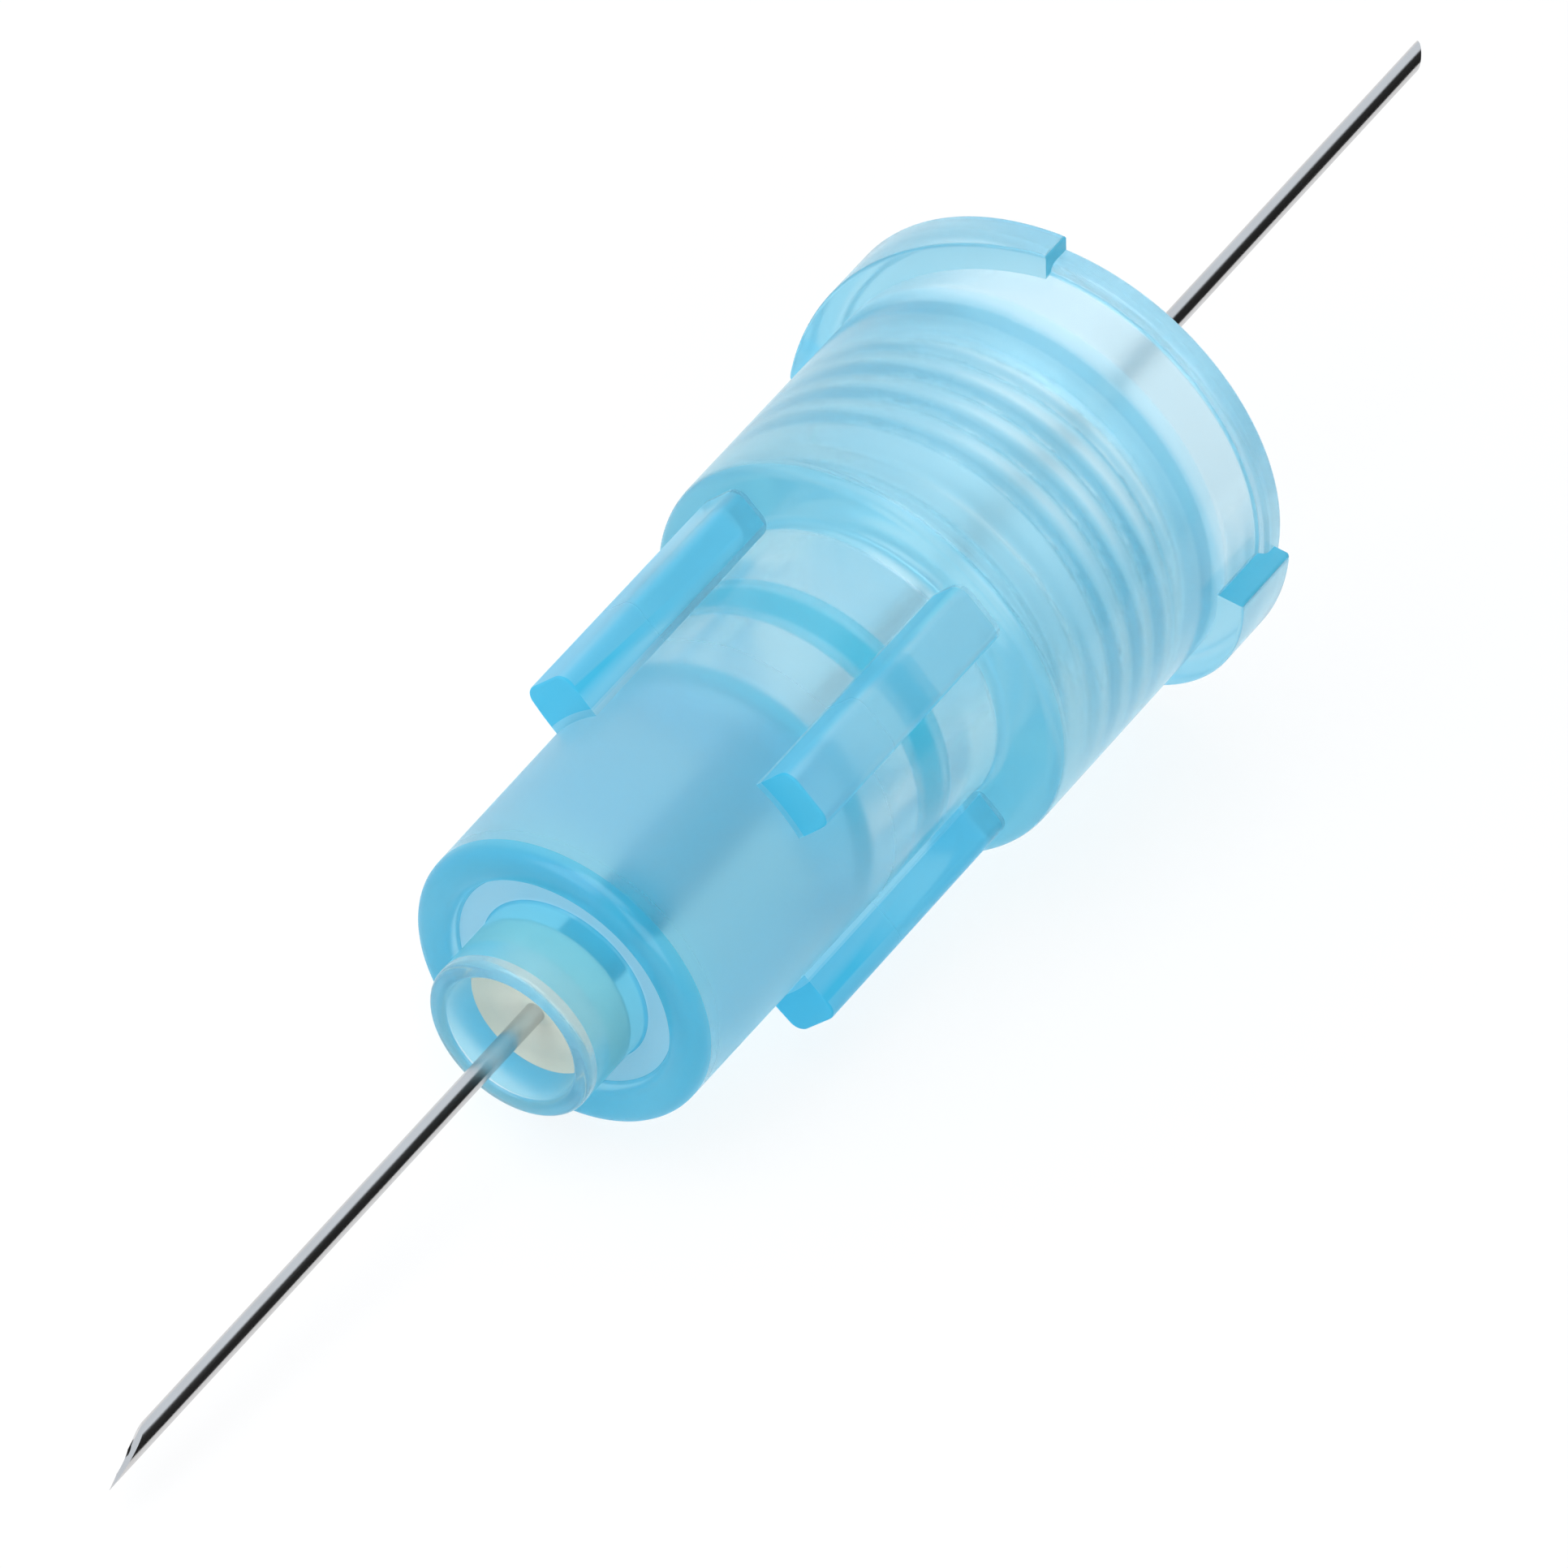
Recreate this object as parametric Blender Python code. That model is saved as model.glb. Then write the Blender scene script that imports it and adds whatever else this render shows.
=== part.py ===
"""A double-ended dental needle: a moulded hub, the steel cannula that runs through it, and its glue plug.

Every piece is modelled along the needle's own +Z axis, with the nose of the hub at Z = 0 and the syringe
end at Z = HUB_LENGTH. The needle is then laid on a table at Z = 0, in the way that it comes to rest."""

import math

import bmesh
import bpy
from mathutils import Matrix, Vector
from mathutils.geometry import intersect_point_tri

MM = 0.001

# Fits
CHANNEL_CLEARANCE = 0.02 * MM
GLUE_FILM = 0.02 * MM

# Cannula: 27 gauge, ground to a lancet point in front and to a short bevel behind
CANNULA_RADIUS = 0.2 * MM
LUMEN_RADIUS = 0.1 * MM
INJECTION_LENGTH = 12.93 * MM
CARTRIDGE_LENGTH = 12.6 * MM
LANCET_LENGTH = 1.55 * MM
LANCET_SIDE_LENGTH = 0.8 * MM
LANCET_SIDE_TURN = math.radians(42)
LANCET_DIRECTION = math.radians(75)
REAR_BEVEL_LENGTH = 0.5 * MM
REAR_BEVEL_DIRECTION = math.radians(-105)
GRIND_MARGIN = 0.2 * MM
CANNULA_STATIONS = 9

# Hub: outside, from the nose to the syringe end
HUB_LENGTH = 18.88 * MM
TUBE_RADIUS = 1.75 * MM
TUBE_EDGE = 0.12 * MM
TUBE_LENGTH = 1.86 * MM
LIP_THICKNESS = 0.76 * MM
BARREL_RADIUS = 3.12 * MM
BARREL_DRAFT = 0.06 * MM
SHOULDER_STATION = 11.5 * MM
SHOULDER_FILLET = 0.25 * MM
SHOULDER_EDGE = 0.3 * MM
COLLAR_RADIUS = 4.46 * MM
RIM_LENGTH = 0.5 * MM
RIM_HEIGHT = 0.2 * MM
RIM_EDGE = 0.08 * MM

# Hub: inside, from the nose to the syringe end
WELL_RADIUS = 1.39 * MM
WELL_DEPTH = 1.6 * MM
WELL_FILLET = 0.15 * MM
BORE_STATION = 7.62 * MM
BORE_RADIUS = 2.08 * MM
BORE_FILLET = 0.2 * MM
STEP_STATION = 9.58 * MM
STEP_LENGTH = 0.52 * MM
CHAMBER_RADIUS = 2.34 * MM
SOCKET_STATION = 12.95 * MM
MOUTH_RADIUS = 3.62 * MM
MOUTH_DEPTH = 1.35 * MM
MOUTH_FILLET = 0.3 * MM

# Socket thread, M6 x 0.75, right-handed
THREAD_PITCH = 0.75 * MM
THREAD_MINOR_RADIUS = 2.6 * MM
THREAD_DEPTH = 0.38 * MM
THREAD_START = 13.25 * MM
THREAD_TURNS = 5
RIDGE_SHARPNESS = 3
ROWS_PER_PITCH = 8
WALL_TOLERANCE = 0.002 * MM

# Four lengthwise ribs on the barrel
RIB_COUNT = 4
RIB_STATION = 5.65 * MM
RIB_RADIUS = 4.08 * MM
RIB_WIDTH = 1.27 * MM
RIB_EDGE = 0.28 * MM
RIB_ROOT = 0.35 * MM

# Two ramped ears on the rim, opposite each other, each named from its thick end to its thin end
EAR_STARTS = (math.radians(50.5), math.radians(230.5))
EAR_SPAN = math.radians(85)
EAR_RADIUS = 5.02 * MM
EAR_ROOT = 0.3 * MM
EAR_THICK_LENGTH = 1.68 * MM
EAR_THICK_SETBACK = 0.25 * MM
EAR_THIN_LENGTH = 0.7 * MM
EAR_THIN_SETBACK = 0.05 * MM

# Glue plug in the bottom of the well
GLUE_STATION = 0.95 * MM
GLUE_MENISCUS = 0.06 * MM
GLUE_MENISCUS_WIDTH = 0.12 * MM
GLUE_DIP = 0.02 * MM

HUB_SEGMENTS = 60
GLUE_SEGMENTS = 40
CANNULA_SEGMENTS = 20
SMOOTH_ANGLE = math.radians(35)

# The needle has rolled on its collar until the rib beside its lowest side all but touches the table
REST_DIRECTION = math.radians(144.5)
HUB_DENSITY = 905
STEEL_DENSITY = 7930
GLUE_DENSITY = 1150


def clear_scene():
    """Removes every object of the open scene."""
    for obj in list(bpy.data.objects):
        bpy.data.objects.remove(obj, do_unlink=True)


def material(name, colour, roughness, metallic=0.0, transmission=0.0):
    """A plain Principled material."""
    made = bpy.data.materials.new(name)
    made.use_nodes = True
    shader = made.node_tree.nodes["Principled BSDF"]
    shader.inputs["Base Color"].default_value = (*colour, 1.0)
    shader.inputs["Roughness"].default_value = roughness
    shader.inputs["Metallic"].default_value = metallic
    shader.inputs["Transmission Weight"].default_value = transmission
    return made


def arc(radius_at, station_at, size, start, end, steps):
    """Points of a round corner: (radius, station) pairs from angle start to end, in degrees.
    Angle 0 points outwards and 90 towards the syringe end."""
    angles = [math.radians(start + (end - start) * i / steps) for i in range(steps + 1)]
    return [(radius_at + size * math.cos(a), station_at + size * math.sin(a)) for a in angles]


def turned_mesh(profile, segments):
    """A closed bmesh: the closed (radius, station) profile spun about Z."""
    bm = bmesh.new()
    verts = [bm.verts.new((radius, 0, station)) for radius, station in profile]
    edges = [bm.edges.new((a, b)) for a, b in zip(verts, verts[1:] + verts[:1])]
    bmesh.ops.spin(bm, geom=verts + edges, cent=(0, 0, 0), axis=(0, 0, 1), angle=math.tau,
                   steps=segments, use_merge=True)
    bmesh.ops.recalc_face_normals(bm, faces=bm.faces)
    return bm


def finished_object(bm, name, coat, parent):
    """Turns a bmesh into a smooth-shaded object of the needle."""
    mesh = bpy.data.meshes.new(name)
    bm.to_mesh(mesh)
    bm.free()
    mesh.shade_smooth()
    mesh.set_sharp_from_angle(angle=SMOOTH_ANGLE)
    mesh.materials.append(coat)
    obj = bpy.data.objects.new(name, mesh)
    obj.parent = parent
    bpy.context.scene.collection.objects.link(obj)
    return obj


def operand(bm, name, target):
    """Joins a bmesh to the target object with a Boolean union, and hides what it is made from."""
    mesh = bpy.data.meshes.new(name)
    bm.to_mesh(mesh)
    bm.free()
    obj = bpy.data.objects.new(name, mesh)
    obj.hide_render = True
    obj.display_type = "WIRE"
    obj.parent = target.parent
    bpy.context.scene.collection.objects.link(obj)
    union = target.modifiers.new(name, "BOOLEAN")
    union.operation = "UNION"
    union.solver = "EXACT"
    union.object = obj


def hub_outside():
    """The hub's outer line, from the mouth of the glue well back to the syringe end."""
    lip_radius = LIP_THICKNESS / 2
    rim_radius = COLLAR_RADIUS + RIM_HEIGHT
    tube_corner = arc(TUBE_RADIUS - TUBE_EDGE, TUBE_EDGE, TUBE_EDGE, -90, 0, 3)
    lip = arc(BARREL_RADIUS - lip_radius, TUBE_LENGTH, lip_radius, -180, 0, 8)
    barrel_end = BARREL_RADIUS + BARREL_DRAFT
    root_station = SHOULDER_STATION - SHOULDER_FILLET
    shoulder_root = arc(barrel_end + SHOULDER_FILLET, root_station, SHOULDER_FILLET, 180, 90, 3)
    corner_station = SHOULDER_STATION + SHOULDER_EDGE
    shoulder_corner = arc(COLLAR_RADIUS - SHOULDER_EDGE, corner_station, SHOULDER_EDGE, -90, 0, 3)
    rim_start = HUB_LENGTH - RIM_LENGTH
    return [
        *tube_corner,
        (TUBE_RADIUS, TUBE_LENGTH),
        *lip,
        *shoulder_root,
        *shoulder_corner,
        (COLLAR_RADIUS, rim_start - RIM_HEIGHT / 2),
        (rim_radius, rim_start),
        (rim_radius, HUB_LENGTH - RIM_EDGE),
        (rim_radius - RIM_EDGE, HUB_LENGTH),
    ]


def thread_stations():
    """Stations of the rows across the socket thread, from its inner end to its outer end."""
    rows = THREAD_TURNS * ROWS_PER_PITCH
    return [THREAD_START + THREAD_PITCH * row / ROWS_PER_PITCH for row in range(rows + 1)]


def hub_inside():
    """The hub's inner line, from the syringe end forwards to the mouth of the glue well."""
    channel = CANNULA_RADIUS + CHANNEL_CLEARANCE
    mouth_floor = HUB_LENGTH - MOUTH_DEPTH
    threaded = [(THREAD_MINOR_RADIUS, station) for station in reversed(thread_stations())]
    mouth_corner = arc(MOUTH_RADIUS - MOUTH_FILLET, mouth_floor + MOUTH_FILLET, MOUTH_FILLET, 0, -90, 3)
    bore_corner = arc(BORE_RADIUS - BORE_FILLET, BORE_STATION + BORE_FILLET, BORE_FILLET, 0, -90, 3)
    well_corner = arc(WELL_RADIUS - WELL_FILLET, WELL_DEPTH - WELL_FILLET, WELL_FILLET, 90, 0, 3)
    return [
        (MOUTH_RADIUS + RIM_EDGE, HUB_LENGTH),
        (MOUTH_RADIUS, HUB_LENGTH - RIM_EDGE),
        *mouth_corner,
        *threaded,
        (THREAD_MINOR_RADIUS, SOCKET_STATION),
        (CHAMBER_RADIUS, SOCKET_STATION),
        (CHAMBER_RADIUS, STEP_STATION + STEP_LENGTH),
        (BORE_RADIUS, STEP_STATION),
        *bore_corner,
        (channel, BORE_STATION),
        (channel, WELL_DEPTH),
        *well_corner,
        (WELL_RADIUS, 0),
    ]


def cut_thread(bm):
    """Sinks a broad helical groove into the rows of the socket wall, so that a narrow ridge stands between
    its turns. The groove runs out at both ends."""
    first, last = thread_stations()[0], thread_stations()[-1]
    for vert in bm.verts:
        radius, station = math.hypot(vert.co.x, vert.co.y), vert.co.z
        on_wall = abs(radius - THREAD_MINOR_RADIUS) < WALL_TOLERANCE
        if on_wall and first < station < last:
            turn = math.atan2(vert.co.y, vert.co.x) / math.tau
            ridge = 0.5 + 0.5 * math.cos(math.tau * (station / THREAD_PITCH - turn))
            groove = 1 - ridge ** RIDGE_SHARPNESS
            runout = min(1.0, (station - first) / THREAD_PITCH, (last - station) / THREAD_PITCH)
            grown = 1 + THREAD_DEPTH * groove * runout / radius
            vert.co.x *= grown
            vert.co.y *= grown


def rib_mesh():
    """The ribs: bars with rounded outer edges, from RIB_STATION back into the shoulder of the collar."""
    bm = bmesh.new()
    inner = BARREL_RADIUS - RIB_ROOT
    length = SHOULDER_STATION + RIB_ROOT - RIB_STATION
    size = Vector((RIB_RADIUS - inner, RIB_WIDTH, length))
    centre = Vector((inner + size.x / 2, 0, RIB_STATION + length / 2))
    for number in range(RIB_COUNT):
        place = Matrix.Rotation(math.tau * number / RIB_COUNT, 4, "Z") @ Matrix.Translation(centre)
        bar = bmesh.ops.create_cube(bm, size=1, matrix=place @ Matrix.Diagonal((*size, 1)))["verts"]
        outer = [v for v in bar if math.hypot(v.co.x, v.co.y) > RIB_RADIUS]
        edges = [e for e in bm.edges if e.verts[0] in outer and e.verts[1] in outer]
        bmesh.ops.bevel(bm, geom=edges, offset=RIB_EDGE, segments=3, profile=0.5, affect="EDGES", material=-1)
    return bm


def ear_mesh():
    """The ears: ring segments whose front faces climb like a right-handed thread."""
    bm = bmesh.new()
    steps = round(HUB_SEGMENTS * EAR_SPAN / math.tau)
    inner = COLLAR_RADIUS - EAR_ROOT
    for start in EAR_STARTS:
        rings = []
        for step in range(steps + 1):
            along = step / steps
            rear = HUB_LENGTH - EAR_THICK_SETBACK + (EAR_THICK_SETBACK - EAR_THIN_SETBACK) * along
            front = rear - EAR_THICK_LENGTH + (EAR_THICK_LENGTH - EAR_THIN_LENGTH) * along
            spot = Matrix.Rotation(start + EAR_SPAN * along, 4, "Z")
            corners = ((inner, front), (EAR_RADIUS, front), (EAR_RADIUS, rear), (inner, rear))
            rings.append([bm.verts.new(spot @ Vector((radius, 0, station))) for radius, station in corners])
        for ring, following in zip(rings, rings[1:]):
            for i in range(len(ring)):
                j = (i + 1) % len(ring)
                bm.faces.new((ring[i], ring[j], following[j], following[i]))
        bm.faces.new(rings[0])
        bm.faces.new(rings[-1])
    bmesh.ops.recalc_face_normals(bm, faces=bm.faces)
    return bm


def make_hub(parent):
    """The one-piece hub: its turned body, with the ribs and the ears joined to it."""
    bm = turned_mesh(hub_outside() + hub_inside(), HUB_SEGMENTS)
    cut_thread(bm)
    blue = material("translucent_blue_plastic", (0.16, 0.55, 0.76), 0.25, transmission=0.6)
    hub = finished_object(bm, "hub", blue, parent)
    operand(rib_mesh(), "ribs", hub)
    operand(ear_mesh(), "ears", hub)
    return hub


def lancet_grind(x, y):
    """How far the grinding of the point goes back from the tip, at a place of the tube's section."""
    along = x * math.cos(LANCET_DIRECTION) + y * math.sin(LANCET_DIRECTION)
    across = y * math.cos(LANCET_DIRECTION) - x * math.sin(LANCET_DIRECTION)
    main = (CANNULA_RADIUS - along) * LANCET_LENGTH / (2 * CANNULA_RADIUS)
    side_reach = along * math.cos(LANCET_SIDE_TURN) - abs(across) * math.sin(LANCET_SIDE_TURN)
    side_slope = LANCET_SIDE_LENGTH / CANNULA_RADIUS
    return max(main, (CANNULA_RADIUS * math.cos(LANCET_SIDE_TURN) - side_reach) * side_slope)


def rear_grind(x, y):
    """How far the short rear bevel goes forward from the rear tip, at a place of the tube's section."""
    along = x * math.cos(REAR_BEVEL_DIRECTION) + y * math.sin(REAR_BEVEL_DIRECTION)
    return (CANNULA_RADIUS - along) * REAR_BEVEL_LENGTH / (2 * CANNULA_RADIUS)


def make_cannula(parent):
    """The steel tube, with both of its ends ground."""
    front, rear = -INJECTION_LENGTH, HUB_LENGTH + CARTRIDGE_LENGTH
    first = front + LANCET_LENGTH + GRIND_MARGIN
    last = rear - REAR_BEVEL_LENGTH - GRIND_MARGIN
    between = [first + (last - first) * i / (CANNULA_STATIONS - 1) for i in range(CANNULA_STATIONS)]
    stations = [front, *between, rear]
    outside = [(CANNULA_RADIUS, station) for station in stations]
    inside = [(LUMEN_RADIUS, station) for station in reversed(stations)]
    bm = turned_mesh(outside + inside, CANNULA_SEGMENTS)
    for vert in bm.verts:
        if vert.co.z < first - GRIND_MARGIN:
            vert.co.z = front + lancet_grind(vert.co.x, vert.co.y)
        elif vert.co.z > last + GRIND_MARGIN:
            vert.co.z = rear - rear_grind(vert.co.x, vert.co.y)
    steel = material("stainless_steel", (0.62, 0.62, 0.63), 0.2, metallic=1.0)
    return finished_object(bm, "cannula", steel, parent)


def make_adhesive(parent):
    """The glue plug: it fills the bottom of the well and rises a little where it wets the walls."""
    outer = WELL_RADIUS - GLUE_FILM
    inner = CANNULA_RADIUS + GLUE_FILM
    bottom = WELL_DEPTH - GLUE_FILM
    middle = (outer + inner) / 2
    bottom_corner = arc(WELL_RADIUS - WELL_FILLET, WELL_DEPTH - WELL_FILLET, WELL_FILLET - GLUE_FILM, 0, 90, 3)
    profile = [
        (inner, GLUE_STATION - GLUE_MENISCUS),
        (inner + GLUE_MENISCUS_WIDTH, GLUE_STATION),
        (middle, GLUE_STATION + GLUE_DIP),
        (outer - GLUE_MENISCUS_WIDTH, GLUE_STATION),
        (outer, GLUE_STATION - GLUE_MENISCUS),
        *bottom_corner,
        (inner, bottom),
    ]
    bm = turned_mesh(profile, GLUE_SEGMENTS)
    ivory = material("ivory_epoxy", (0.62, 0.6, 0.5), 0.4)
    return finished_object(bm, "adhesive", ivory, parent)


def outer_points(pieces):
    """The corners of all the finished pieces, in the needle's own frame."""
    graph = bpy.context.evaluated_depsgraph_get()
    return [v.co.copy() for obj in pieces for v in obj.evaluated_get(graph).data.vertices]


def mass_and_moment(obj, density):
    """A finished piece's mass, and its mass times its centre."""
    graph = bpy.context.evaluated_depsgraph_get()
    mesh = obj.evaluated_get(graph).data
    mesh.calc_loop_triangles()
    mass, moment = 0.0, Vector()
    for tri in mesh.loop_triangles:
        a, b, c = (mesh.vertices[i].co for i in tri.vertices)
        wedge = density * a.dot(b.cross(c)) / 6
        mass += wedge
        moment += wedge * (a + b + c) / 4
    return mass, moment


def resting_rotation(points, centre):
    """The turn that lays the needle on the side of its hull that lies below its centre of mass.
    Of the sides that it can rest on, it takes the one nearest to REST_DIRECTION."""
    rest_side = Vector((math.cos(REST_DIRECTION), math.sin(REST_DIRECTION), 0))
    bm = bmesh.new()
    for point in points:
        bm.verts.new(point)
    bmesh.ops.convex_hull(bm, input=bm.verts)
    bmesh.ops.recalc_face_normals(bm, faces=bm.faces)
    best = None
    for face in bm.faces:
        corners = [v.co for v in face.verts]
        below = centre + face.normal * face.normal.dot(corners[0] - centre)
        if intersect_point_tri(below, *corners) is None:
            continue
        if best is None or face.normal.dot(rest_side) > best.dot(rest_side):
            best = face.normal.copy()
    bm.free()
    down = best.rotation_difference(Vector((0, 0, -1))).to_matrix()
    axis = down @ Vector((0, 0, 1))
    return Matrix.Rotation(-math.atan2(axis.y, axis.x), 3, "Z") @ down


def lay_down(needle, pieces, centre):
    """Rests the needle on Z = 0, with its nose towards -X and the middle of its box over the origin."""
    points = outer_points(pieces)
    turn = resting_rotation(points, centre)
    turned = [turn @ point for point in points]
    low = Vector([min(p[i] for p in turned) for i in range(3)])
    high = Vector([max(p[i] for p in turned) for i in range(3)])
    needle.rotation_euler = turn.to_euler()
    needle.location = (-(low.x + high.x) / 2, -(low.y + high.y) / 2, -low.z)


def build():
    """Makes the whole needle."""
    clear_scene()
    needle = bpy.data.objects.new("needle", None)
    bpy.context.scene.collection.objects.link(needle)
    hub = make_hub(needle)
    cannula = make_cannula(needle)
    adhesive = make_adhesive(needle)
    bpy.context.view_layer.update()
    weighed = [
        mass_and_moment(hub, HUB_DENSITY),
        mass_and_moment(cannula, STEEL_DENSITY),
        mass_and_moment(adhesive, GLUE_DENSITY),
    ]
    centre = sum((moment for _, moment in weighed), Vector()) / sum(mass for mass, _ in weighed)
    lay_down(needle, (hub, cannula, adhesive), centre)


build()
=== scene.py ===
import math

import bmesh
import bpy
from mathutils import Matrix, Vector


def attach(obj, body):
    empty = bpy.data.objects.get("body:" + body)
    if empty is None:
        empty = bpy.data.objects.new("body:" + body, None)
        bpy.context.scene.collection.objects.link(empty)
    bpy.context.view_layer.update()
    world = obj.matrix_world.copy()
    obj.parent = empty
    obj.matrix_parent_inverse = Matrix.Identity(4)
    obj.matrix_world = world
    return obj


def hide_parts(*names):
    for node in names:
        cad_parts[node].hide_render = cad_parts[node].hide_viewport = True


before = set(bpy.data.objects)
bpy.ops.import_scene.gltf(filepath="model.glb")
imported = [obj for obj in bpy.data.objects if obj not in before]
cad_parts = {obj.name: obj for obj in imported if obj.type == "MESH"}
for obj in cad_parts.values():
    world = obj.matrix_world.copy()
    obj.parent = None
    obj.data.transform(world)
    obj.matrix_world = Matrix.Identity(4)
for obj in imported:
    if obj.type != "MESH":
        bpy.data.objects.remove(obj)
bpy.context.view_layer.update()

# The camera looks down on the lying needle from its nose side, through a long lens.
CAMERA_PLACE = (-0.220298, -0.081773, 0.219540)
CAMERA_TURNS = [math.radians(angle) for angle in (46.0010, -12.6350, -57.7483)]
camera_data = bpy.data.cameras.new("camera")
camera_data.lens = 399.56
camera_data.sensor_width = 36
camera_data.clip_start = 0.01
camera = bpy.data.objects.new("camera", camera_data)
camera.location = CAMERA_PLACE
camera.rotation_euler = CAMERA_TURNS
bpy.context.scene.collection.objects.link(camera)
bpy.context.scene.camera = camera

# The hub: one injection moulding in clear blue polypropylene, with a faint milky haze and a satin
# skin. Its nose tube holds the glue, four ribs grip the cap, and the collar behind them hides the
# screw socket for the syringe. Two ramped ears on the rim lock the hub into its cap.
MM = 0.001
HUB_LENGTH = 18.88 * MM
NOSE_PLACE = Vector((-9.20619, 0.0, 2.83971)) * MM
DIP = math.radians(7.66723)
ROLL = math.radians(-147)
lying = (Matrix.Translation(NOSE_PLACE)
         @ Matrix.Rotation(math.pi / 2 - DIP, 4, "Y")
         @ Matrix.Rotation(ROLL, 4, "Z"))

# Stations are measured backwards along the needle, from the front of the nose tube. The channel
# shows as a broad band round the cannula, so it is wider than the cannula alone would need.
TUBE_RADIUS = 1.75 * MM
TUBE_LENGTH = 1.86 * MM
TUBE_EDGE = 0.12 * MM
LIP_THICKNESS = 0.76 * MM
LIP_EDGE = 0.36 * MM
LIP_ROOT = 0.06 * MM
BARREL_RADIUS = 3.12 * MM
BARREL_DRAFT = 0.06 * MM
SHOULDER_STATION = 11.5 * MM
SHOULDER_FILLET = 0.25 * MM
COLLAR_RADIUS = 4.46 * MM
COLLAR_EDGE = 0.3 * MM
RIM_RADIUS = 4.66 * MM
RIM_LENGTH = 0.5 * MM
RIM_RAMP = 0.1 * MM
RIM_RAMP_EDGE = 0.08 * MM
WELL_RADIUS = 1.39 * MM
WELL_DEPTH = 1.6 * MM
WELL_EDGE = 0.08 * MM
WELL_FILLET = 0.15 * MM
CHANNEL_RADIUS = 0.42 * MM
BORE_STATION = 7.62 * MM
BORE_RADIUS = 2.08 * MM
BORE_FILLET = 0.25 * MM
STEP_STATION = 9.58 * MM
STEP_LENGTH = 0.52 * MM
CHAMBER_RADIUS = 2.34 * MM
CHAMBER_EDGE = 0.05 * MM
SOCKET_STATION = 12.95 * MM
MOUTH_RADIUS = 3.62 * MM
MOUTH_DEPTH = 1.35 * MM
MOUTH_FILLET = 0.3 * MM
SMALL_EDGE = 0.1 * MM
THREAD_PITCH = 0.75 * MM
THREAD_RADIUS = 2.6 * MM
THREAD_DEPTH = 0.38 * MM
THREAD_START = 13.25 * MM
THREAD_TURNS = 5
THREAD_ROWS = 16
RIDGE_SHARPNESS = 3
HUB_STEPS = 240
CORNER_SEGMENTS = 8
MERGE_DISTANCE = 0.0002 * MM
TOLERANCE = 0.001 * MM


def turned(corners, steps):
    """A body turned about the needle's axis. Each corner of its half section is its radius, its
    station along the needle, and the size of its rounding."""
    bm = bmesh.new()
    verts = [bm.verts.new((radius, 0, station)) for radius, station, _ in corners]
    bm.faces.new(verts)
    for vert, (_, _, rounding) in zip(verts, corners):
        if rounding:
            bmesh.ops.bevel(bm, geom=[vert], offset=rounding, segments=CORNER_SEGMENTS,
                            profile=0.5, affect="VERTICES", material=-1)
    bmesh.ops.delete(bm, geom=bm.faces[:], context="FACES_ONLY")
    bmesh.ops.remove_doubles(bm, verts=bm.verts, dist=MERGE_DISTANCE)
    bmesh.ops.spin(bm, geom=bm.verts[:] + bm.edges[:], cent=(0, 0, 0), axis=(0, 0, 1),
                   angle=math.tau, steps=steps, use_merge=True)
    bmesh.ops.recalc_face_normals(bm, faces=bm.faces)
    return bm


def placed(bm, name, finish=None):
    """Puts a finished mesh into the scene."""
    mesh = bpy.data.meshes.new(name)
    bm.to_mesh(mesh)
    bm.free()
    if finish:
        mesh.materials.append(finish)
    piece = bpy.data.objects.new(name, mesh)
    bpy.context.scene.collection.objects.link(piece)
    return piece


def laid_piece(bm, name, finish, smooth_angle=35):
    """Lays a piece down with the needle, its place in its mesh, and smooths its gentle turns."""
    bmesh.ops.transform(bm, matrix=lying, verts=bm.verts)
    piece = placed(bm, name, finish)
    piece.data.shade_smooth()
    piece.data.set_sharp_from_angle(angle=math.radians(smooth_angle))
    return piece


threaded_wall = [
    (THREAD_RADIUS, THREAD_START + THREAD_PITCH * row / THREAD_ROWS, 0)
    for row in range(THREAD_TURNS * THREAD_ROWS, -1, -1)
]
hub_mesh = turned([
    (TUBE_RADIUS, 0, TUBE_EDGE),
    (TUBE_RADIUS, TUBE_LENGTH, SMALL_EDGE),
    (BARREL_RADIUS - LIP_THICKNESS, TUBE_LENGTH, LIP_ROOT),
    (BARREL_RADIUS - LIP_THICKNESS, TUBE_LENGTH - LIP_THICKNESS / 2, LIP_EDGE),
    (BARREL_RADIUS, TUBE_LENGTH - LIP_THICKNESS / 2, LIP_EDGE),
    (BARREL_RADIUS + BARREL_DRAFT, SHOULDER_STATION, SHOULDER_FILLET),
    (COLLAR_RADIUS, SHOULDER_STATION, COLLAR_EDGE),
    (COLLAR_RADIUS, HUB_LENGTH - RIM_LENGTH - RIM_RAMP, RIM_RAMP_EDGE),
    (RIM_RADIUS, HUB_LENGTH - RIM_LENGTH, RIM_RAMP_EDGE),
    (RIM_RADIUS, HUB_LENGTH, SMALL_EDGE),
    (MOUTH_RADIUS, HUB_LENGTH, SMALL_EDGE),
    (MOUTH_RADIUS, HUB_LENGTH - MOUTH_DEPTH, MOUTH_FILLET),
    *threaded_wall,
    (THREAD_RADIUS, SOCKET_STATION, SMALL_EDGE),
    (CHAMBER_RADIUS, SOCKET_STATION, CHAMBER_EDGE),
    (CHAMBER_RADIUS, STEP_STATION + STEP_LENGTH, SMALL_EDGE),
    (BORE_RADIUS, STEP_STATION, SMALL_EDGE),
    (BORE_RADIUS, BORE_STATION, BORE_FILLET),
    (CHANNEL_RADIUS, BORE_STATION, 0),
    (CHANNEL_RADIUS, WELL_DEPTH, 0),
    (WELL_RADIUS, WELL_DEPTH, WELL_FILLET),
    (WELL_RADIUS, 0, WELL_EDGE),
], HUB_STEPS)

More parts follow.
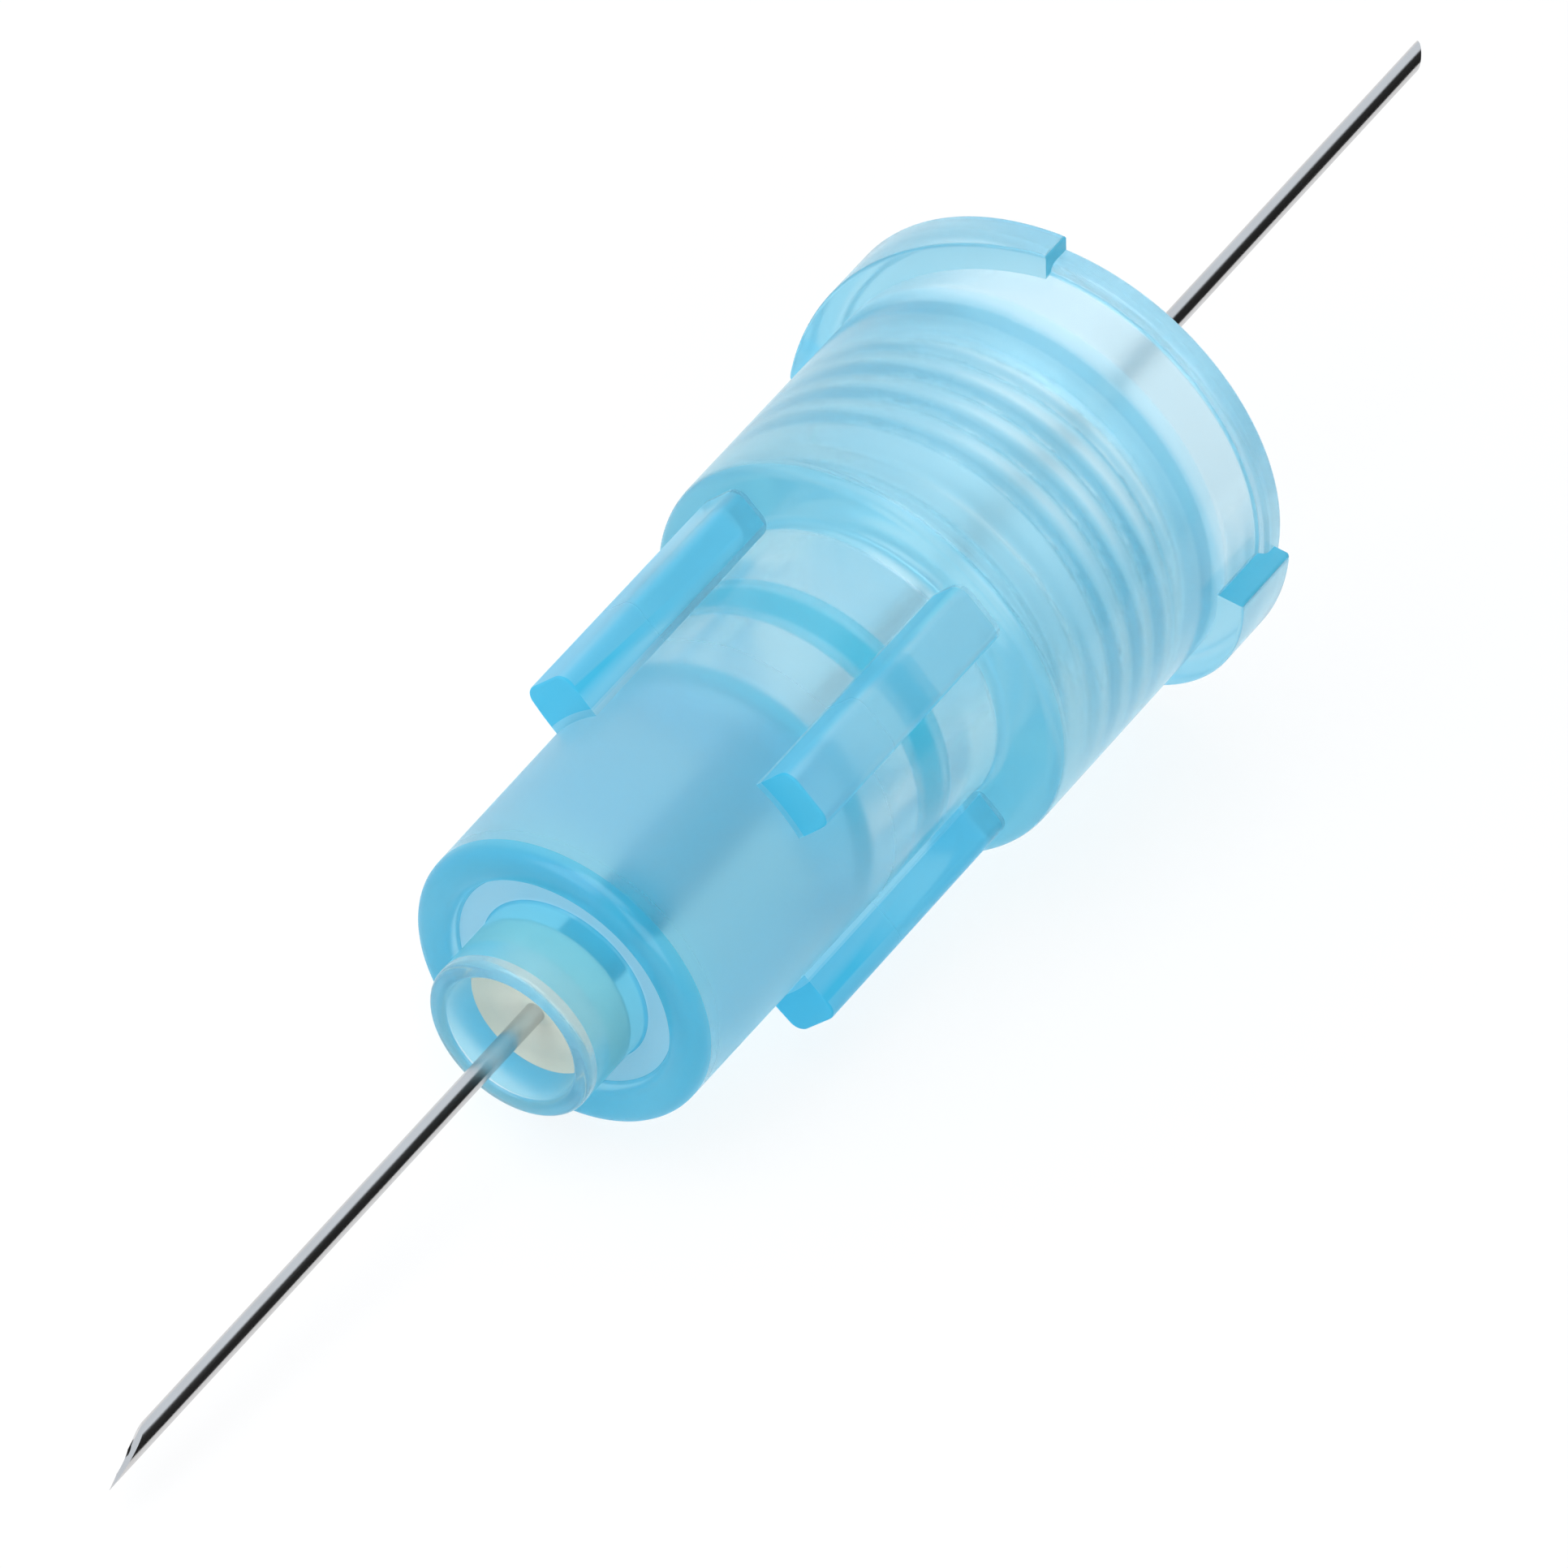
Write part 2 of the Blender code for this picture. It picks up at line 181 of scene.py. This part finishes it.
# The thread is moulded round an unscrewing core: a narrow ridge between the turns of a broad
# groove, which runs out at both of its ends.
thread_end = THREAD_START + THREAD_PITCH * THREAD_TURNS
for vert in hub_mesh.verts:
    radius, station = math.hypot(vert.co.x, vert.co.y), vert.co.z
    if abs(radius - THREAD_RADIUS) < TOLERANCE and THREAD_START < station < thread_end:
        turn = math.atan2(vert.co.y, vert.co.x) / math.tau
        ridge = 0.5 + 0.5 * math.cos(math.tau * (station / THREAD_PITCH - turn))
        groove = 1 - ridge ** RIDGE_SHARPNESS
        runout = min(1.0, (station - THREAD_START) / THREAD_PITCH,
                     (thread_end - station) / THREAD_PITCH)
        grown = 1 + THREAD_DEPTH * groove * runout / radius
        vert.co.x *= grown
        vert.co.y *= grown

RIB_COUNT = 4
RIB_STATION = 5.65 * MM
RIB_RADIUS = 4.08 * MM
RIB_WIDTH = 1.27 * MM
RIB_ROOT = 0.35 * MM
RIB_EDGE = 0.28 * MM
RIB_FRONT_EDGE = 0.06 * MM
FINE_SEGMENTS = 3


def rounded(bm, edges, rounding, segments):
    """Rounds these edges of the mesh."""
    bmesh.ops.bevel(bm, geom=edges, offset=rounding, segments=segments, profile=0.5,
                    affect="EDGES", material=-1)


ribs = bmesh.new()
rib_size = Vector((RIB_RADIUS - BARREL_RADIUS + RIB_ROOT, RIB_WIDTH,
                   SHOULDER_STATION + RIB_ROOT - RIB_STATION))
rib_centre = Vector((RIB_RADIUS - rib_size.x / 2, 0, RIB_STATION + rib_size.z / 2))
for rib in range(RIB_COUNT):
    place = Matrix.Rotation(math.tau * rib / RIB_COUNT, 4, "Z") @ Matrix.Translation(rib_centre)
    bar = bmesh.ops.create_cube(ribs, size=1, matrix=place @ Matrix.Diagonal((*rib_size, 1)))
    outer = [v for v in bar["verts"] if math.hypot(v.co.x, v.co.y) > RIB_RADIUS]
    long_edges = [e for e in ribs.edges if e.verts[0] in outer and e.verts[1] in outer
                  and abs(e.verts[0].co.z - e.verts[1].co.z) > RIB_WIDTH]
    rounded(ribs, long_edges, RIB_EDGE, CORNER_SEGMENTS)
front_edges = [e for e in ribs.edges
               if all(abs(v.co.z - RIB_STATION) < TOLERANCE for v in e.verts)
               and min(math.hypot(v.co.x, v.co.y) for v in e.verts) > BARREL_RADIUS]
rounded(ribs, front_edges, RIB_FRONT_EDGE, FINE_SEGMENTS)

# Each ear is swept round the rim as a unit section, then gets its length and its setback, which
# both shrink from its thick end to its thin end.
EAR_STARTS = (math.radians(50.5), math.radians(230.5))
EAR_SPAN = math.radians(85)
EAR_RADIUS = 5.02 * MM
EAR_ROOT = 0.3 * MM
EAR_THICK_LENGTH = 1.68 * MM
EAR_THICK_SETBACK = 0.25 * MM
EAR_THIN_LENGTH = 0.7 * MM
EAR_THIN_SETBACK = 0.05 * MM
EAR_EDGE = 0.07 * MM
EAR_SHARP_TURN = 1.0
EAR_STEPS = 56
ears = bmesh.new()
ear_foot = COLLAR_RADIUS - EAR_ROOT
for start in EAR_STARTS:
    section = [(ear_foot, 0), (EAR_RADIUS, 0), (EAR_RADIUS, 1), (ear_foot, 1)]
    turn_in = Matrix.Rotation(start, 3, "Z")
    corners = [ears.verts.new(turn_in @ Vector((radius, 0, share))) for radius, share in section]
    bmesh.ops.spin(ears, geom=[ears.faces.new(corners)], cent=(0, 0, 0), axis=(0, 0, 1),
                   angle=EAR_SPAN, steps=EAR_STEPS)
for vert in ears.verts:
    angle = math.atan2(vert.co.y, vert.co.x) % math.tau
    along = (angle - EAR_STARTS[0]) % math.pi / EAR_SPAN
    if along > 1.5:  # a start that rounding puts just before itself
        along = 0
    rear = HUB_LENGTH - EAR_THICK_SETBACK + (EAR_THICK_SETBACK - EAR_THIN_SETBACK) * along
    length = EAR_THICK_LENGTH + (EAR_THIN_LENGTH - EAR_THICK_LENGTH) * along
    vert.co.z = rear - length * (1 - vert.co.z)
bmesh.ops.recalc_face_normals(ears, faces=ears.faces)
ear_edges = [e for e in ears.edges
             if len(e.link_faces) == 2 and e.calc_face_angle() > EAR_SHARP_TURN
             and min(math.hypot(v.co.x, v.co.y) for v in e.verts) > COLLAR_RADIUS]
rounded(ears, ear_edges, EAR_EDGE, FINE_SEGMENTS)


def joined(body, addition):
    """Welds the addition to the body, as one moulding."""
    pieces = [placed(bm, "welded") for bm in (body, addition)]
    weld = pieces[0].modifiers.new("weld", "BOOLEAN")
    weld.operation = "UNION"
    weld.solver = "EXACT"
    weld.object = pieces[1]
    made = bmesh.new()
    made.from_mesh(pieces[0].evaluated_get(bpy.context.evaluated_depsgraph_get()).data)
    for piece in pieces:
        bpy.data.objects.remove(piece, do_unlink=True)
    return made


hub_mesh = joined(joined(hub_mesh, ribs), ears)


class Socket:
    """A node's output. Arithmetic on it adds Math nodes, and add() makes any other node."""

    def __init__(self, tree, output=None):
        self.tree = tree
        self.output = output

    def add(self, kind, settings=None, values=None, output=0):
        """A new node: its settings first, then the values or links of its inputs. Gives one of
        its outputs."""
        node = self.tree.nodes.new(kind)
        for name, value in (settings or {}).items():
            if name == "stops":
                while len(node.color_ramp.elements) < len(value):
                    node.color_ramp.elements.new(1)
                for element, (position, colour) in zip(node.color_ramp.elements, value):
                    element.position = position
                    element.color = colour
            else:
                setattr(node, name, value)
        for name, value in (values or {}).items():
            if isinstance(value, Socket):
                self.tree.links.new(value.output, node.inputs[name])
            else:
                node.inputs[name].default_value = value
        return Socket(self.tree, node.outputs[output] if node.outputs else None)

    def maths(self, operation, first, second):
        return self.add("ShaderNodeMath", {"operation": operation}, {0: first, 1: second})

    def __add__(self, other):
        return self.maths("ADD", self, other)

    def __radd__(self, other):
        return self.maths("ADD", other, self)

    def __sub__(self, other):
        return self.maths("SUBTRACT", self, other)

    def __rsub__(self, other):
        return self.maths("SUBTRACT", other, self)

    def __mul__(self, other):
        return self.maths("MULTIPLY", self, other)

    def __rmul__(self, other):
        return self.maths("MULTIPLY", other, self)

    def __gt__(self, other):
        return self.maths("GREATER_THAN", self, other)

    def __lt__(self, other):
        return self.maths("LESS_THAN", self, other)


def new_finish(name):
    """An empty material: the material, and a Socket to add its nodes with."""
    finish = bpy.data.materials.new(name)
    finish.use_nodes = True
    finish.node_tree.nodes.clear()
    return finish, Socket(finish.node_tree)


def along_needle(nodes):
    """The place on the needle in its own axes: Z runs along it, from the hub's nose backwards."""
    place = nodes.add("ShaderNodeTexCoord", output="Object")
    return nodes.add("ShaderNodeMapping", {"vector_type": "TEXTURE"}, {
        "Vector": place, "Location": lying.translation, "Rotation": lying.to_euler()})


def smooth_step(value, low, high):
    """Rises smoothly from 0 where the value is low to 1 where it is high."""
    return value.add("ShaderNodeMapRange", {"interpolation_type": "SMOOTHSTEP"}, {
        "Value": value, "From Min": low, "From Max": high})


def tinted(share, first, second):
    """Goes from the first colour to the second as the share goes from 0 to 1."""
    return share.add("ShaderNodeMix", {"data_type": "RGBA"}, {
        "Factor": share, "A": first, "B": second}, output="Result")


hub_blue, nodes = new_finish("clear_blue_polypropylene")
place = along_needle(nodes)
across = nodes.add("ShaderNodeSeparateXYZ", None, {"Vector": place}, output="X")
down = nodes.add("ShaderNodeSeparateXYZ", None, {"Vector": place}, output="Y")
run = nodes.add("ShaderNodeSeparateXYZ", None, {"Vector": place}, output="Z")
radius = nodes.add("ShaderNodeMath", {"operation": "SQRT"}, {0: across * across + down * down})
facing = nodes.add("ShaderNodeNewGeometry", output="Normal")
facing_across, facing_down, facing_along = (
    nodes.add("ShaderNodeVectorMath", {"operation": "DOT_PRODUCT"}, {0: facing, 1: axis},
              output="Value")
    for axis in lying.to_3x3().col
)
swirl = nodes.add("ShaderNodeMath", {"operation": "DIVIDE"}, {
    0: across * facing_down - down * facing_across, 1: radius})
endwise = nodes.add("ShaderNodeMath", {"operation": "ABSOLUTE"}, {0: facing_along})
sidewise = nodes.add("ShaderNodeMath", {"operation": "ABSOLUTE"}, {0: swirl})

# The core of the mould makes the walls inside, and its cavity makes the skin. The radius that
# parts the two grows from the nose tube to the barrel, and again at the mouth.
NOSE_CORE = 1.55 * MM
BARREL_CORE = 3.03 * MM
MOUTH_CORE = 4.0 * MM
LIP_BACK = 1.9 * MM
MOUTH_FRONT = 17.4 * MM
core_side = radius < (NOSE_CORE + (BARREL_CORE - NOSE_CORE) * (run > LIP_BACK)
                      + (MOUTH_CORE - BARREL_CORE) * (run > MOUTH_FRONT))
skin_side = 1 - core_side

# The zones of the moulding, each bounded by radii and stations that lie clear of its edges.
TUBE_FRONT = 0.25 * MM
TUBE_SKIN = 1.8 * MM
LIP_INSIDE = 2.3 * MM
WELL_BACK = 1.7 * MM
CHANNEL_SKIN = 0.6 * MM
BORE_CORNER = 1.7 * MM
BORE_ENDS = (7.5 * MM, 7.9 * MM)
STEP_ENDS = (9.4 * MM, 10.3 * MM)
RIB_SKIN = 3.3 * MM
RIB_BACK = 11.4 * MM
THREAD_ENDS = (12.8 * MM, 16.95 * MM)
MOUTH_MIDDLE = 17.7 * MM
RIM_FRONT = 18.3 * MM
RIM_SKIN = 4.75 * MM
EAR_SKIN = 4.5 * MM
on_tube = (radius < TUBE_SKIN) * (run > TUBE_FRONT) * (run < LIP_BACK) * skin_side
on_floor = (radius > TUBE_SKIN) * (radius < LIP_INSIDE) * (run < LIP_BACK)
on_lip = (radius > LIP_INSIDE) * (run < LIP_BACK)
in_channel = (radius < CHANNEL_SKIN) * (run > WELL_BACK)
on_bore_end = core_side * (radius > BORE_CORNER) * (run > BORE_ENDS[0]) * (run < BORE_ENDS[1])
on_step = core_side * (run > STEP_ENDS[0]) * (run < STEP_ENDS[1])
on_rib = (radius > RIB_SKIN) * (run < RIB_BACK)
on_thread = core_side * (run > THREAD_ENDS[0]) * (run < THREAD_ENDS[1])
in_mouth = core_side * (run > THREAD_ENDS[1])
on_rim = skin_side * (run > RIM_FRONT) * (radius < RIM_SKIN)
on_ear = radius > EAR_SKIN

# The thick plastic in front clouds the light behind it. The blue deepens in the lip, the nose tube
# and the ribs, partly as the thick plastic's own deeper tint and partly as painted shade. Painted
# shade also deepens it in the channel, and where a wall turns across the needle, as at the step or
# on one flank of the thread, or turns sideways, as on the ribs and ears. The mouth and the rim get
# less painted shade and stay paler.
CLOUD_RISE = (1.6 * MM, 3.0 * MM)
CLOUD_FALL = (9.0 * MM, 6.5 * MM)
TURN_FRONT = 2.0 * MM
TURN_FOOT = 3.25 * MM
flow = nodes.add("ShaderNodeTexNoise", None, {"Vector": place, "Scale": 260.0, "Detail": 2.0})
cloudy = smooth_step(run, *CLOUD_FALL) * smooth_step(run, *CLOUD_RISE) * skin_side
one_flank = 1 - on_thread * (facing_along < 0)
turned_across = (smooth_step(endwise, 0.15 + 0.3 * on_thread, 0.5 + 0.25 * on_thread)
                 * one_flank * (run > TURN_FRONT))
turned_sideways = smooth_step(sidewise, 0.4, 0.8) * (radius > TURN_FOOT)
# The deeper tint of the thick plastic, with painted shade on turned faces and in the channel.
depth_and_painted_shade = nodes.add("ShaderNodeMath", {"operation": "ADD", "use_clamp": True}, {
    0: turned_across * (0.55 + 0.45 * core_side - 0.4 * on_thread - 0.9 * in_mouth
                        - 0.45 * on_rim)
    + turned_sideways * (0.35 + 0.55 * on_ear),
    1: 0.38 * on_rib + 0.85 * on_lip + 0.78 * on_tube + in_channel + on_bore_end})
# Painted teal shade: the cannula's dark image, blurred through the plastic, painted in the
# channel, and dark bands painted at the step, the bore's end and one flank of the thread.
painted_teal_shade = in_channel + on_step + on_bore_end + 0.7 * on_thread * turned_across
milkiness = nodes.add("ShaderNodeMath", {"operation": "ADD", "use_clamp": True}, {
    0: 0.15 + 0.04 * flow - 0.1 * core_side + 0.18 * cloudy + 0.12 * on_rib,
    1: 0.34 * depth_and_painted_shade + 0.5 * on_floor + 0.6 * in_channel + 0.5 * (on_step + on_bore_end)
    + (0.1 + 0.35 * turned_across) * on_thread
    + (0.22 + 0.15 * (run < MOUTH_MIDDLE)) * in_mouth})

# The pale colours are the plastic's own. The deep colours are partly the thick plastic's deeper
# tint and partly painted shade, and the teal is painted shade.
HUB_PALE = (0.93, 0.95, 0.965, 1.0)
HUB_DEEP_PAINTED_SHADE = (0.36, 0.80, 0.91, 1.0)
MILK_PALE = (0.56, 0.77, 0.87, 1.0)
MILK_DEEP_PAINTED_SHADE = (0.08, 0.57, 0.78, 1.0)
MILK_PAINTED_TEAL_SHADE = (0.0, 0.46, 0.60, 1.0)
HUB_SHADE = (0.80, 0.94, 0.98, 1.0)
HUB_ABSORPTION = (0.12, 0.70, 0.79, 1.0)
HUB_DENSITY = 180
skin = nodes.add("ShaderNodeTexNoise", None, {"Vector": place, "Scale": 900.0, "Detail": 4.0})
bump = nodes.add("ShaderNodeBump", None, {
    "Height": skin, "Strength": 0.04, "Distance": 0.02 * MM})
# The glass's base colour carries the painted shade: pale, deepening to the deep blue where the
# mask above is set.
glass = nodes.add("ShaderNodeBsdfPrincipled", None, {
    "Base Color": tinted(depth_and_painted_shade, HUB_PALE, HUB_DEEP_PAINTED_SHADE),
    "Roughness": 0.18 + 0.05 * flow + 0.02 * core_side + 0.18 * cloudy + 0.3 * in_channel
    + 0.14 * on_thread,
    "IOR": 1.49,
    "Transmission Weight": 1.0,
    "Normal": bump,
})


def milky(colour):
    """Plastic of one colour that scatters half of the light back and lets half through."""
    front = nodes.add("ShaderNodeBsdfDiffuse", None, {"Color": colour, "Normal": bump})
    back = nodes.add("ShaderNodeBsdfTranslucent", None, {"Color": colour, "Normal": bump})
    return nodes.add("ShaderNodeMixShader", None, {"Fac": 0.5, 1: front, 2: back})


# The milk carries the same painted shade, and the painted teal shade of the channel, step, bore
# end and thread.
blue_milk = nodes.add("ShaderNodeMixShader", None, {
    "Fac": depth_and_painted_shade, 1: milky(MILK_PALE), 2: milky(MILK_DEEP_PAINTED_SHADE)})
milk = nodes.add("ShaderNodeMixShader", None, {
    "Fac": painted_teal_shade, 1: blue_milk, 2: milky(MILK_PAINTED_TEAL_SHADE)})
moulded = nodes.add("ShaderNodeMixShader", None, {"Fac": milkiness, 1: glass, 2: milk})
shaded = nodes.add("ShaderNodeBsdfTransparent", None, {"Color": HUB_SHADE})
shadow_ray = nodes.add("ShaderNodeLightPath", output="Is Shadow Ray")
surface = nodes.add("ShaderNodeMixShader", None, {"Fac": shadow_ray, 1: moulded, 2: shaded})
depth = nodes.add("ShaderNodeVolumeAbsorption", None, {
    "Color": HUB_ABSORPTION, "Density": HUB_DENSITY})
nodes.add("ShaderNodeOutputMaterial", None, {"Surface": surface, "Volume": depth})

hub = laid_piece(hub_mesh, "moulded_hub", hub_blue)
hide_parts("hub")
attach(hub, "root")

# The cannula: one drawn stainless steel tube of 27 gauge, bright outside, with fine drawing lines.
# Its long point is ground in three flats, and its cartridge end in one short bevel.
CANNULA_RADIUS = 0.2 * MM
LUMEN_RADIUS = 0.1 * MM
INJECTION_LENGTH = 12.93 * MM
CARTRIDGE_LENGTH = 12.6 * MM
LANCET_LENGTH = 1.55 * MM
LANCET_SIDE_LENGTH = 0.8 * MM
LANCET_SIDE_TURN = math.radians(42)
LANCET_DIRECTION = math.radians(75)
REAR_BEVEL_LENGTH = 0.5 * MM
REAR_BEVEL_DIRECTION = math.radians(-105)
GRIND_MARGIN = 0.2 * MM
CANNULA_STEPS = 64
CANNULA_SMOOTH_ANGLE = 30
point_station, rear_station = -INJECTION_LENGTH, HUB_LENGTH + CARTRIDGE_LENGTH
first_straight = point_station + LANCET_LENGTH + GRIND_MARGIN
last_straight = rear_station - REAR_BEVEL_LENGTH - GRIND_MARGIN
cannula_mesh = turned([
    (CANNULA_RADIUS, point_station, 0),
    (CANNULA_RADIUS, first_straight, 0),
    (CANNULA_RADIUS, last_straight, 0),
    (CANNULA_RADIUS, rear_station, 0),
    (LUMEN_RADIUS, rear_station, 0),
    (LUMEN_RADIUS, last_straight, 0),
    (LUMEN_RADIUS, first_straight, 0),
    (LUMEN_RADIUS, point_station, 0),
], CANNULA_STEPS)


def towards(vert, direction):
    """How far the vertex lies from the axis in this direction, and how far to its side."""
    along = vert.co.x * math.cos(direction) + vert.co.y * math.sin(direction)
    aside = vert.co.y * math.cos(direction) - vert.co.x * math.sin(direction)
    return along, aside


for vert in cannula_mesh.verts:
    if vert.co.z < first_straight - GRIND_MARGIN:
        along, aside = towards(vert, LANCET_DIRECTION)
        main = (CANNULA_RADIUS - along) * LANCET_LENGTH / (2 * CANNULA_RADIUS)
        reach = along * math.cos(LANCET_SIDE_TURN) - abs(aside) * math.sin(LANCET_SIDE_TURN)
        side = ((CANNULA_RADIUS * math.cos(LANCET_SIDE_TURN) - reach)
                * LANCET_SIDE_LENGTH / CANNULA_RADIUS)
        vert.co.z = point_station + max(main, side)
    elif vert.co.z > last_straight + GRIND_MARGIN:
        along, _ = towards(vert, REAR_BEVEL_DIRECTION)
        vert.co.z = rear_station - ((CANNULA_RADIUS - along) * REAR_BEVEL_LENGTH
                                    / (2 * CANNULA_RADIUS))

STEEL_BRIGHT = (0.66, 0.66, 0.67, 1.0)
STEEL_STAINED = (0.56, 0.54, 0.53, 1.0)
steel, nodes = new_finish("drawn_stainless_steel")
place = along_needle(nodes)
stretched = nodes.add("ShaderNodeMapping", None, {"Vector": place, "Scale": (1.0, 1.0, 0.02)})
drawing_lines = nodes.add("ShaderNodeTexNoise", None, {
    "Vector": stretched, "Scale": 22000.0, "Detail": 3.0})
staining = nodes.add("ShaderNodeTexNoise", None, {
    "Vector": place, "Scale": 700.0, "Detail": 3.0})
bump = nodes.add("ShaderNodeBump", None, {
    "Height": drawing_lines, "Strength": 0.25, "Distance": 0.002 * MM})
shader = nodes.add("ShaderNodeBsdfPrincipled", None, {
    "Base Color": tinted(staining, STEEL_BRIGHT, STEEL_STAINED), "Metallic": 1.0,
    "Roughness": 0.15 + 0.12 * drawing_lines, "Normal": bump})
nodes.add("ShaderNodeOutputMaterial", None, {"Surface": shader})

cannula = laid_piece(cannula_mesh, "steel_cannula", steel, CANNULA_SMOOTH_ANGLE)
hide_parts("cannula")
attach(cannula, "root")

# The adhesive: ivory epoxy, dropped into the well round the cannula and cured by ultraviolet
# light. It wets both walls, so its surface rises a little at them.
GLUE_STATION = 0.95 * MM
GLUE_OVERLAP = 0.01 * MM
GLUE_RISE_AT_CANNULA = 0.08 * MM
GLUE_SLOPE_AT_CANNULA = 0.12 * MM
GLUE_RISE_AT_WELL = 0.07 * MM
GLUE_SLOPE_AT_WELL = 0.16 * MM
GLUE_STEPS = 120
glue_mesh = turned([
    (CANNULA_RADIUS - GLUE_OVERLAP, GLUE_STATION - GLUE_RISE_AT_CANNULA, 0),
    (CANNULA_RADIUS + GLUE_SLOPE_AT_CANNULA, GLUE_STATION, 0.08 * MM),
    (WELL_RADIUS - GLUE_SLOPE_AT_WELL, GLUE_STATION, 0.12 * MM),
    (WELL_RADIUS + GLUE_OVERLAP, GLUE_STATION - GLUE_RISE_AT_WELL, 0),
    (WELL_RADIUS + GLUE_OVERLAP, WELL_DEPTH + GLUE_OVERLAP, WELL_FILLET),
    (CANNULA_RADIUS - GLUE_OVERLAP, WELL_DEPTH + GLUE_OVERLAP, 0),
], GLUE_STEPS)
IVORY_PALE = (0.56, 0.55, 0.46, 1.0)
IVORY_DULL = (0.48, 0.49, 0.43, 1.0)
ivory, nodes = new_finish("ivory_epoxy")
clouding = nodes.add("ShaderNodeTexNoise", None, {
    "Vector": along_needle(nodes), "Scale": 1500.0, "Detail": 4.0})
bump = nodes.add("ShaderNodeBump", None, {
    "Height": clouding, "Strength": 0.15, "Distance": 0.02 * MM})
shader = nodes.add("ShaderNodeBsdfPrincipled", None, {
    "Base Color": tinted(clouding, IVORY_PALE, IVORY_DULL),
    "Roughness": 0.35 + 0.1 * clouding, "Normal": bump})
nodes.add("ShaderNodeOutputMaterial", None, {"Surface": shader})

glue = laid_piece(glue_mesh, "epoxy_plug", ivory)
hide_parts("adhesive")
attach(glue, "root")

# The table: a plain white sheet, which looks white to the camera and keeps the needle's soft
# shadow.
TABLE_SIZE = 0.9
TABLE_GLOW = 0.8
WHITE = (1.0, 1.0, 1.0, 1.0)
table_white, nodes = new_finish("white_sheet")
paper = nodes.add("ShaderNodeBsdfDiffuse", None, {"Color": (0.86, 0.86, 0.86, 1.0)})
shine = nodes.add("ShaderNodeEmission", None, {"Color": WHITE, "Strength": 1.0})
camera_ray = nodes.add("ShaderNodeLightPath", output="Is Camera Ray")
glossy_ray = nodes.add("ShaderNodeLightPath", output="Is Glossy Ray")
passing_ray = nodes.add("ShaderNodeLightPath", output="Is Transmission Ray")
seen = nodes.add("ShaderNodeMath", {"operation": "ADD", "use_clamp": True}, {
    0: camera_ray + glossy_ray, 1: passing_ray})
surface = nodes.add("ShaderNodeMixShader", None, {"Fac": seen * TABLE_GLOW, 1: paper, 2: shine})
nodes.add("ShaderNodeOutputMaterial", None, {"Surface": surface})
table_mesh = bmesh.new()
bmesh.ops.create_grid(table_mesh, x_segments=1, y_segments=1, size=TABLE_SIZE / 2)
table = placed(table_mesh, "table", table_white)

# The studio: a white surround behind the plastic, a pale tent over the back of the table, and a
# dark room in front of it, which the steel shows as its dark core.
DARK_ROOM = (0.02, 0.02, 0.02, 1.0)
PALE_TENT = (0.86, 0.93, 1.0, 1.0)
world = bpy.data.worlds.new("studio")
bpy.context.scene.world = world
world.use_nodes = True
world.node_tree.nodes.clear()
nodes = Socket(world.node_tree)
camera_ray = nodes.add("ShaderNodeLightPath", output="Is Camera Ray")
passing_ray = nodes.add("ShaderNodeLightPath", output="Is Transmission Ray")
seen = nodes.add("ShaderNodeMath", {"operation": "MAXIMUM"}, {0: camera_ray, 1: passing_ray})
direction = nodes.add("ShaderNodeTexCoord", output="Generated")
backwards = nodes.add("ShaderNodeSeparateXYZ", None, {"Vector": direction}, output="Y")
walls = nodes.add("ShaderNodeValToRGB", {"stops": [(0.40, DARK_ROOM), (0.62, PALE_TENT)]},
                  {"Fac": 0.5 + backwards}, output="Color")
room = nodes.add("ShaderNodeBackground", None, {"Color": walls, "Strength": 1.0})
white = nodes.add("ShaderNodeBackground", None, {"Color": WHITE, "Strength": 1.0})
shown = nodes.add("ShaderNodeMixShader", None, {"Fac": seen, 1: room, 2: white})
nodes.add("ShaderNodeOutputWorld", None, {"Surface": shown})

SOFTBOX_SIZE = 0.3
SOFTBOXES = {
    "top_softbox": ((-0.12, 0.03, 0.42), 1.05),
    "left_softbox": ((-0.34, 0.18, 0.26), 0.65),
    "front_softbox": ((-0.30, -0.24, 0.26), 0.85),
}
for name, (place, power) in SOFTBOXES.items():
    lamp = bpy.data.lights.new(name, "AREA")
    lamp.size = SOFTBOX_SIZE
    lamp.energy = power
    softbox = bpy.data.objects.new(name, lamp)
    softbox.location = place
    softbox.rotation_euler = Vector(place).to_track_quat("Z", "Y").to_euler()
    bpy.context.scene.collection.objects.link(softbox)

bpy.context.scene.view_settings.view_transform = "Standard"
